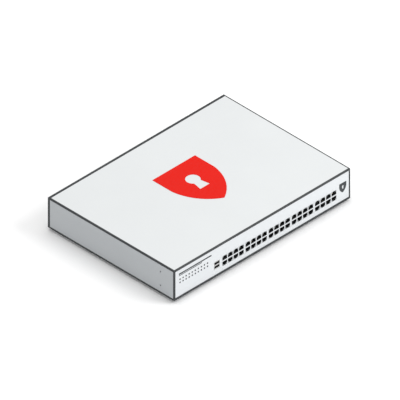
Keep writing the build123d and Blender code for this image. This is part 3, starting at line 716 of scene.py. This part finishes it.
def rivet_places():
    """A row of rivets along each lower rail, with their heads under the floor."""
    low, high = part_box("bottom_pan")
    rail_low, rail_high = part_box("rail_bottom_right")
    inset = (rail_low.x + rail_high.x) / 2
    places = []
    for side in (-1, 1):
        for i in range(RIVETS):
            y = low.y + (high.y - low.y) * (FIRST_RIVET + RIVET_STEP * i)
            places.append(((side * inset, y, low.z), (0, 0, -1), 1.0))
    return places


# ---------------------------------------------------------------- small front pieces
def window_mesh():
    """A light window: a rounded rectangular lens with a slightly crowned face towards +Z."""
    s = sizes()
    w, h, d = s.window_width / 2, s.window_height / 2, s.window_proud
    corner = 0.35 * MM
    mesh = bmesh.new()
    loops = []
    for inset, height in ((0, -0.5 * MM), (0, d * 0.4), (0.12 * MM, d), (0.45 * MM, d * 1.3)):
        loop = []
        for cx, cy, start in ((w, h, 0), (-w, h, 90), (-w, -h, 180), (w, -h, 270)):
            r = max(corner - inset, 0.05 * MM)
            reach = corner if inset < corner else inset + 0.05 * MM
            mx, my = cx - math.copysign(reach, cx), cy - math.copysign(reach, cy)
            for k in range(4):
                angle = math.radians(start + 30 * k)
                point = (mx + r * math.cos(angle), my + r * math.sin(angle), height)
                loop.append(mesh.verts.new(point))
        loops.append(loop)
    bridge(mesh, loops)
    close_ends(mesh, loops)
    return mesh_from("Light window", mesh)


def jack_window_places():
    """Two windows for each jack, one on each side of its latch notch."""
    places = []
    for node in PORT_FRAMES:
        low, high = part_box(node)
        x = (low.x + high.x) / 2
        z = (low.z + high.z) / 2
        for column in range(JACK_COLUMNS):
            jack_x = x + (column - (JACK_COLUMNS - 1) / 2) * JACK_PITCH
            for level in (-1, 1):
                jack_z = z + level * JACK_ROW
                for side in (-1, 1):
                    spot = (jack_x + side * WINDOW_ACROSS, low.y, jack_z + level * WINDOW_OUT)
                    places.append((spot, (0, -1, 0), 1.0))
    return places


def wire_mesh(level):
    """One contact of a jack at the jack's middle, a thin sprung strip that runs from the wall
    opposite the latch, near the mouth, down into the cavity. Level 1 is an upper jack."""
    wall = -level * 3.35 * MM
    # How deep in the jack each point lies and how far it lifts off the wall, in millimetres
    path = [(1.6, 0.0), (3.2, 0.15), (4.6, 0.9), (10.5, 3.3), (12.4, 3.6)]
    half, thick = 0.2 * MM, 0.22 * MM
    mesh = bmesh.new()
    loops = []
    for deep, lift in path:
        y, z = deep * MM, wall + level * lift * MM
        section = ((-half, 0), (half, 0), (half, level * thick), (-half, level * thick))
        loops.append([mesh.verts.new((x, y, z + dz)) for x, dz in section])
    bridge(mesh, loops)
    close_ends(mesh, loops)
    return mesh_from("Contact", mesh)


def nose_mesh(level):
    """The black nose of a jack about its middle: a thin lining of the opening in the port frame,
    with the latch notch on its outer side. Level 1 is an upper jack."""
    width, height, latch, rise = 5.95 * MM, 3.45 * MM, 3.3 * MM, 2.4 * MM
    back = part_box("jack_housing_1")[0].y
    front = FASCIA_LOW.y + 0.06 * MM
    mesh = bmesh.new()
    loops = []
    for gap, y in ((0.01, 0.0), (0.01, front - back), (0.09, front - back), (0.09, 0.0)):
        w, h, n = width - gap * MM, height - gap * MM, latch - gap * MM
        outline = [(-w, -h), (w, -h), (w, h), (n, h), (n, h + rise), (-n, h + rise), (-n, h), (-w, h)]
        loops.append([mesh.verts.new((x, y, level * z)) for x, z in outline])
    bridge(mesh, loops, closed=True)
    return mesh_from("Jack nose", mesh)


def build_noses():
    tree = repeat_tree("Jack noses", False)
    rows = []
    for level in (-1, 1):
        places = [(middle, (0, 0, 1), 1.0) for middle in jack_middles(level)]
        rows.append(repeat(f"noses {level}", tree, nose_mesh(level), places, "jack_black"))
    new_piece("jack_noses", join_meshes("jack_noses", rows), "jack_black")


def build_stripe():
    """A second, shorter printed stripe under the one over the status lights."""
    low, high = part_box("front_badges")
    mesh = bmesh.new()
    top = high.z - 4.0 * MM
    face = FASCIA_LOW.y
    near = (low.x, face - 0.12 * MM, top - 1.5 * MM)
    add_box(mesh, near, (low.x + 58 * MM, face + 0.05 * MM, top))
    new_piece("lower_stripe", mesh_from("lower_stripe", mesh), "badge_charcoal")


def jack_middles(level):
    """The middles of one row of jacks in the plane of the housings' mouths."""
    middles = []
    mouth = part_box("jack_housing_1")[0].y
    for node in PORT_FRAMES:
        low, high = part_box(node)
        for column in range(JACK_COLUMNS):
            x = (low.x + high.x) / 2 + (column - (JACK_COLUMNS - 1) / 2) * JACK_PITCH
            middles.append(Vector((x, mouth, (low.z + high.z) / 2 + level * JACK_ROW)))
    return middles


def build_contacts():
    tree = repeat_tree("Jack contacts", False)
    rows = []
    for level in (-1, 1):
        places = [
            (middle + Vector(((i - (CONTACTS - 1) / 2) * CONTACT_PITCH, 0, 0)), (0, 0, 1), 1.0)
            for middle in jack_middles(level)
            for i in range(CONTACTS)
        ]
        rows.append(repeat(f"contacts {level}", tree, wire_mesh(level), places, "contact_gold"))
    new_piece("jack_contacts", join_meshes("jack_contacts", rows), "contact_gold")


# ---------------------------------------------------------------- rear and underside
def thread_mesh(radius, pitch, low, high):
    """A threaded rod along +Y between two depths, with a chamfered tip, as a bmesh."""
    mesh = bmesh.new()
    segments, steps = 40, round((high - low) / pitch * 10)
    loops = []
    for k in range(steps + 1):
        y = low + (high - low) * k / steps
        taper = max(0.0, y - (high - 0.7 * MM)) * 0.9
        loop = []
        for i in range(segments):
            turn = i / segments
            phase = ((y - low) / pitch - turn) % 1.0
            depth = 0.5 * pitch * min(1.0, abs(2 * phase - 1) * 1.25)
            r = min(radius - depth, radius - taper)
            angle = 2 * math.pi * turn
            loop.append(mesh.verts.new((r * math.sin(angle), y, r * math.cos(angle))))
        loops.append(loop)
    bridge(mesh, loops)
    close_ends(mesh, loops)
    return mesh


def build_stud():
    """The earth stud with its thread, and the earth symbol printed beside it."""
    low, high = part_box("ground_stud")
    x, z = (low.x + high.x) / 2, (low.z + high.z) / 2
    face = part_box("rear_panel")[1].y
    shoulder = face + 0.3 * MM
    mesh = thread_mesh(2.5 * MM, sizes().stud_pitch, shoulder, high.y)
    bmesh.ops.translate(mesh, verts=mesh.verts, vec=(x, 0, z))
    rings = [(3.2 * MM, 0, 0), (3.2 * MM, 1.6 * MM, 0), (3.0 * MM, 1.8 * MM, 0)]
    collar = lathe("Collar", rings, 40)
    turned = bmesh.new()
    turned.from_mesh(collar)
    for vertex in turned.verts:
        vertex.co = Vector((x + vertex.co.x, face - 1.5 * MM + vertex.co.z, z - vertex.co.y))
    turned.to_mesh(collar)
    turned.free()
    mesh.from_mesh(collar)
    add_box(mesh, (x - 4 * MM, low.y, z - 4 * MM), (x + 4 * MM, face - 1.5 * MM, z + 4 * MM))
    piece = new_piece("ground_stud_threaded", mesh_from("ground_stud_threaded", mesh), "stud_brass")
    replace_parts(piece, "ground_stud")
    line = sizes().mark_line
    mark = bmesh.new()
    top = face + 0.06 * MM
    for half, height in ((4.2, -1.0), (2.8, -2.8), (1.4, -4.6)):
        level = z + (13.5 + height) * MM
        add_box(mark, (x - half * MM, face, level - line / 2), (x + half * MM, top, level + line / 2))
    add_box(mark, (x - line / 2, face, z + 12.5 * MM), (x + line / 2, top, z + 16.5 * MM))
    new_piece("earth_symbol", mesh_from("earth_symbol", mark), "badge_charcoal")


def ring_on(mesh, centre, across, up, out, radius, line, segments=40):
    """Adds a flat raised ring, square in section, in the plane of two directions."""
    loops = []
    for r, rise in ((radius - line, 0), (radius - line, 1), (radius, 1), (radius, 0)):
        loop = []
        for i in range(segments):
            angle = 2 * math.pi * i / segments
            point = centre + across * (r * math.cos(angle)) + up * (r * math.sin(angle)) + out * rise
            loop.append(mesh.verts.new(point))
        loops.append(loop)
    bridge(mesh, loops, closed=True)


def build_rocker_marks():
    """A bar on the pressed half of the rocker and a ring on the raised half."""
    node = NODES["power_rocker"]
    low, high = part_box("power_rocker")
    tree = BVHTree.FromObject(node, bpy.context.evaluated_depsgraph_get())
    x, z = (low.x + high.x) / 2, (low.z + high.z) / 2
    mark = bmesh.new()
    for offset in (4.6 * MM, -4.6 * MM):
        start = Vector((x, high.y + 0.05, z + offset))
        hit, normal = tree.ray_cast(start, Vector((0, -1, 0)))[:2]
        across = Vector((1, 0, 0))
        up = normal.cross(across)
        out = normal * 0.08 * MM
        if offset > 0:
            loops = []
            for rise in (0, 1):
                points = [
                    hit + across * u * MM + up * v * MM + out * rise
                    for u, v in ((-0.4, -2), (0.4, -2), (0.4, 2), (-0.4, 2))
                ]
                loops.append([mark.verts.new(point) for point in points])
            close_ends(mark, loops)
            bridge(mark, loops)
        else:
            ring_on(mark, hit, across, up, out, 2.1 * MM, 0.7 * MM)
    new_piece("rocker_marks", mesh_from("rocker_marks", mark), "port_frame_white", "rocker")


def foot_mesh():
    """A rubber foot about +Z that stands on zero."""
    rings = [
        (5.6 * MM, 0.5 * MM, 0), (6.0 * MM, 0, 0), (8.0 * MM, 0, 0), (8.5 * MM, 0.35 * MM, 0),
        (9.2 * MM, 4.5 * MM, 0), (9.5 * MM, 4.85 * MM, 0), (9.5 * MM, 5.0 * MM, 0),
    ]
    return lathe("Foot", rings, 48)


def build_feet():
    places = []
    for points in solids_of("rubber_feet"):
        x = (min(p.x for p in points) + max(p.x for p in points)) / 2
        y = (min(p.y for p in points) + max(p.y for p in points)) / 2
        places.append(((x, y, 0), (0, 0, 1), 1.0))
    tree = repeat_tree("Feet", False)
    mesh = repeat("rubber_feet_turned", tree, foot_mesh(), places, "rubber_black")
    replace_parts(new_piece("rubber_feet_turned", mesh, "rubber_black"), "rubber_feet")


# ---------------------------------------------------------------- impellers
def blade_points(root, tip, low, high, steps=10, across=7):
    """A grid of points on a blade's mean surface about +Y: it runs from the root's radius to the
    tip's, leans back as it goes out and is set at a smaller angle there."""
    grid = []
    for a in range(across):
        out = a / (across - 1)
        radius = root + (tip - root) * out
        lead = math.radians(-8 - 20 * out)
        sweep = math.radians(46 - 4 * out)
        row = []
        for k in range(steps):
            t = k / (steps - 1)
            angle = lead + sweep * (t + 0.10 * math.sin(math.pi * t))
            y = low + (high - low) * (0.08 + 0.84 * t) * (1 - 0.06 * out) + 0.03 * (high - low) * out
            row.append(Vector((radius * math.sin(angle), y, radius * math.cos(angle))))
        grid.append(row)
    return grid


def add_blade(mesh, grid, thickness, turn):
    """Adds a blade of even thickness with both of its skins and its rim."""
    spin = Matrix.Rotation(turn, 3, "Y")
    skins = []
    for side in (-0.5, 0.5):
        skin = []
        for a, row in enumerate(grid):
            line = []
            for k, point in enumerate(row):
                ahead = row[min(k + 1, len(row) - 1)] - row[max(k - 1, 0)]
                outward = Vector((point.x, 0, point.z)).normalized()
                normal = ahead.cross(outward).normalized()
                ends = min(k, len(row) - 1 - k) / (len(row) - 1)
                thin = thickness * (0.45 + 0.55 * min(1.0, ends * 4))
                line.append(mesh.verts.new(spin @ (point + normal * side * thin)))
            skin.append(line)
        skins.append(skin)
    rows, columns = len(grid), len(grid[0])
    for skin in skins:
        for a in range(rows - 1):
            for k in range(columns - 1):
                mesh.faces.new((skin[a][k], skin[a][k + 1], skin[a + 1][k + 1], skin[a + 1][k]))
    rim = [(a, 0) for a in range(rows)]
    rim += [(rows - 1, k) for k in range(1, columns)]
    rim += [(a, columns - 1) for a in range(rows - 2, -1, -1)]
    rim += [(0, k) for k in range(columns - 2, 0, -1)]
    for (a, k), (b, m) in zip(rim, rim[1:] + rim[:1]):
        mesh.faces.new((skins[0][a][k], skins[0][b][m], skins[1][b][m], skins[1][a][k]))


def build_impeller(node, body):
    """An impeller with a rounded hub and curved blades in place of the plain one."""
    low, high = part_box(node)
    housing_low, housing_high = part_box(node.replace("rotor", "housing"))
    x, z = (housing_low.x + housing_high.x) / 2, (housing_low.z + housing_high.z) / 2
    hub_high = high.y - SHAFT_REACH
    r = HUB_RADIUS
    rings = [
        (SHAFT_RADIUS, high.y, 0), (SHAFT_RADIUS, hub_high, 0),
        (r * 0.97, hub_high, 0), (r, hub_high - 0.3 * MM, 0),
        (r, low.y + 1.3 * MM, 0), (r * 0.96, low.y + 0.5 * MM, 0), (r * 0.88, low.y + 0.1 * MM, 0),
        (r * 0.8, low.y, 0), (r * 0.3, low.y, 0), (r * 0.28, low.y + 0.3 * MM, 0),
    ]
    hub = lathe("Hub", [(radius, -height, lobe) for radius, height, lobe in rings], 56)
    mesh = bmesh.new()
    mesh.from_mesh(hub)
    for vertex in mesh.verts:
        vertex.co = Vector((vertex.co.x, -vertex.co.z, vertex.co.y))
    grid = blade_points(r - 0.5 * MM, BLADE_TIP, low.y, hub_high)
    for i in range(BLADES):
        add_blade(mesh, grid, BLADE_THICKNESS, 2 * math.pi * i / BLADES)
    bmesh.ops.translate(mesh, verts=mesh.verts, vec=(x, 0, z))
    name = node + "_shaped"
    piece = new_piece(name, mesh_from(name, mesh), "rotor_black", body)
    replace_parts(piece, node)


# ---------------------------------------------------------------- operators
class APPLIANCE_OT_finish_frame(bpy.types.Operator):
    """Gives every piece of the frame its own material"""

    bl_idname = "appliance.finish_frame"
    bl_label = "Finish the frame's pieces"

    def execute(self, context):
        make_groups()
        MATERIALS.update(make_materials())
        for part in frame["record"]["subparts"]:
            node = NODES[part["node"]]
            node.data.materials.clear()
            node.data.materials.append(MATERIALS[part["material_slot"]])
        return {"FINISHED"}


class APPLIANCE_OT_add_screws(bpy.types.Operator):
    """Adds six-lobe screws to the frames and the fans, and rivets to the floor of the case"""

    bl_idname = "appliance.add_screws"
    bl_label = "Add screws"

    def execute(self, context):
        build_screws("case_screws_detailed", "case_screws")
        tree = repeat_tree("Rivets", False)
        mesh = repeat("pan_rivets", tree, rivet_mesh(), rivet_places(), "heatsink_aluminium")
        new_piece("pan_rivets", mesh, "heatsink_aluminium")
        return {"FINISHED"}


class APPLIANCE_OT_add_jack_lights(bpy.types.Operator):
    """Adds the contacts, noses and light windows of the jacks and the lower stripe"""

    bl_idname = "appliance.add_jack_lights"
    bl_label = "Add jack lights"

    def execute(self, context):
        tree = repeat_tree("Jack lights", False)
        places = jack_window_places()
        mesh = repeat("jack_light_windows", tree, window_mesh(), places, "light_pipe_smoke")
        new_piece("jack_light_windows", mesh, "light_pipe_smoke")
        build_contacts()
        build_noses()
        build_stripe()
        return {"FINISHED"}


class APPLIANCE_OT_add_rear(bpy.types.Operator):
    """Adds the earth stud's thread, the printed symbols, the feet and the impellers"""

    bl_idname = "appliance.add_rear"
    bl_label = "Add rear and underside"

    def execute(self, context):
        build_stud()
        build_rocker_marks()
        build_feet()
        build_impeller("fan_rotor_left", "fan_impeller_left")
        build_impeller("fan_rotor_right", "fan_impeller_right")
        return {"FINISHED"}


class APPLIANCE_OT_set_stage(bpy.types.Operator):
    """Sets the floor, the lights and the camera"""

    bl_idname = "appliance.set_stage"
    bl_label = "Set the stage"

    def execute(self, context):
        stage = context.scene.appliance_stage
        lay_floor(stage)
        hang_lights()
        place_camera(stage)
        context.scene.view_settings.view_transform = "Standard"
        return {"FINISHED"}


# ---------------------------------------------------------------- stage
def lay_floor(stage):
    mesh = bpy.data.meshes.new("Floor")
    reach = 12.0
    corners = [(-reach, -reach, 0), (reach, -reach, 0), (reach, reach, 0), (-reach, reach, 0)]
    mesh.from_pydata(corners, [], [(0, 1, 2, 3)])
    floor = bpy.data.objects.new("Floor", mesh)
    bpy.context.scene.collection.objects.link(floor)
    material = bpy.data.materials.new("Floor")
    material.use_nodes = True
    shader = material.node_tree.nodes["Principled BSDF"]
    shader.inputs["Base Color"].default_value = opaque(stage.floor)
    shader.inputs["Roughness"].default_value = 0.9
    mesh.materials.append(material)


def area_light(name, place, aim, size, power, tint=(1, 1, 1)):
    data = bpy.data.lights.new(name, "AREA")
    data.shape = "DISK"
    data.size = size
    data.energy = power
    data.color = tint
    light = bpy.data.objects.new(name, data)
    light.location = place
    light.rotation_euler = (Vector(aim) - Vector(place)).to_track_quat("-Z", "Y").to_euler()
    bpy.context.scene.collection.objects.link(light)


def hang_lights():
    middle = (LOW + HIGH) / 2
    area_light("Key", (1.3, -1.9, 2.3), middle, 1.6, 37.0)
    area_light("Top", (0.0, 0.3, 3.0), middle, 2.4, 26.0)
    world = bpy.data.worlds.new("Studio")
    world.use_nodes = True
    background = world.node_tree.nodes["Background"]
    background.inputs["Color"].default_value = (1, 1, 1, 1)
    seen = add(world.node_tree, "ShaderNodeLightPath").outputs["Is Camera Ray"]
    strength = maths(world.node_tree, "MULTIPLY_ADD", seen, 0.3, 0.74)
    world.node_tree.links.new(strength, background.inputs["Strength"])
    bpy.context.scene.world = world


def place_camera(stage):
    """An orthographic camera that looks a little above the middle of the footprint."""
    a, e = stage.azimuth, stage.elevation
    back = Vector((math.sin(a) * math.cos(e), -math.cos(a) * math.cos(e), math.sin(e)))
    across = Vector((math.cos(a), math.sin(a), 0.0))
    up = back.cross(across)
    data = bpy.data.cameras.new("Camera")
    data.type = "ORTHO"
    data.ortho_scale = stage.view_width
    data.clip_end = 20.0
    camera = bpy.data.objects.new("Camera", data)
    camera.rotation_mode = "QUATERNION"
    camera.rotation_quaternion = (-back).to_track_quat("-Z", "Y")
    camera.location = across * stage.shift_across + up * stage.shift_up + back * 3.0
    bpy.context.scene.collection.objects.link(camera)
    bpy.context.scene.camera = camera


# ---------------------------------------------------------------- panel and registration
OPERATORS = (
    APPLIANCE_OT_finish_frame,
    APPLIANCE_OT_add_screws,
    APPLIANCE_OT_add_jack_lights,
    APPLIANCE_OT_add_rear,
    APPLIANCE_OT_set_stage,
)


class APPLIANCE_PT_build(bpy.types.Panel):
    """Lists the steps that build the appliance"""

    bl_idname = "APPLIANCE_PT_build"
    bl_label = "Firewall Appliance"
    bl_space_type = "VIEW_3D"
    bl_region_type = "UI"
    bl_category = "Appliance"

    def draw(self, context):
        for operator in OPERATORS:
            self.layout.operator(operator.bl_idname)


SETTINGS = {
    "appliance_sizes": ApplianceSizes,
    "appliance_finishes": ApplianceFinishes,
    "appliance_stage": ApplianceStage,
}
CLASSES = (*SETTINGS.values(), *OPERATORS, APPLIANCE_PT_build)


def register():
    for cls in CLASSES:
        bpy.utils.register_class(cls)
    for name, cls in SETTINGS.items():
        setattr(bpy.types.Scene, name, bpy.props.PointerProperty(type=cls))


def unregister():
    for name in SETTINGS:
        delattr(bpy.types.Scene, name)
    for cls in reversed(CLASSES):
        bpy.utils.unregister_class(cls)


def main():
    register()
    bpy.ops.appliance.finish_frame()
    bpy.ops.appliance.add_screws()
    bpy.ops.appliance.add_jack_lights()
    bpy.ops.appliance.add_rear()
    bpy.ops.appliance.set_stage()
    bpy.context.view_layer.update()


if __name__ == "__main__":
    main()
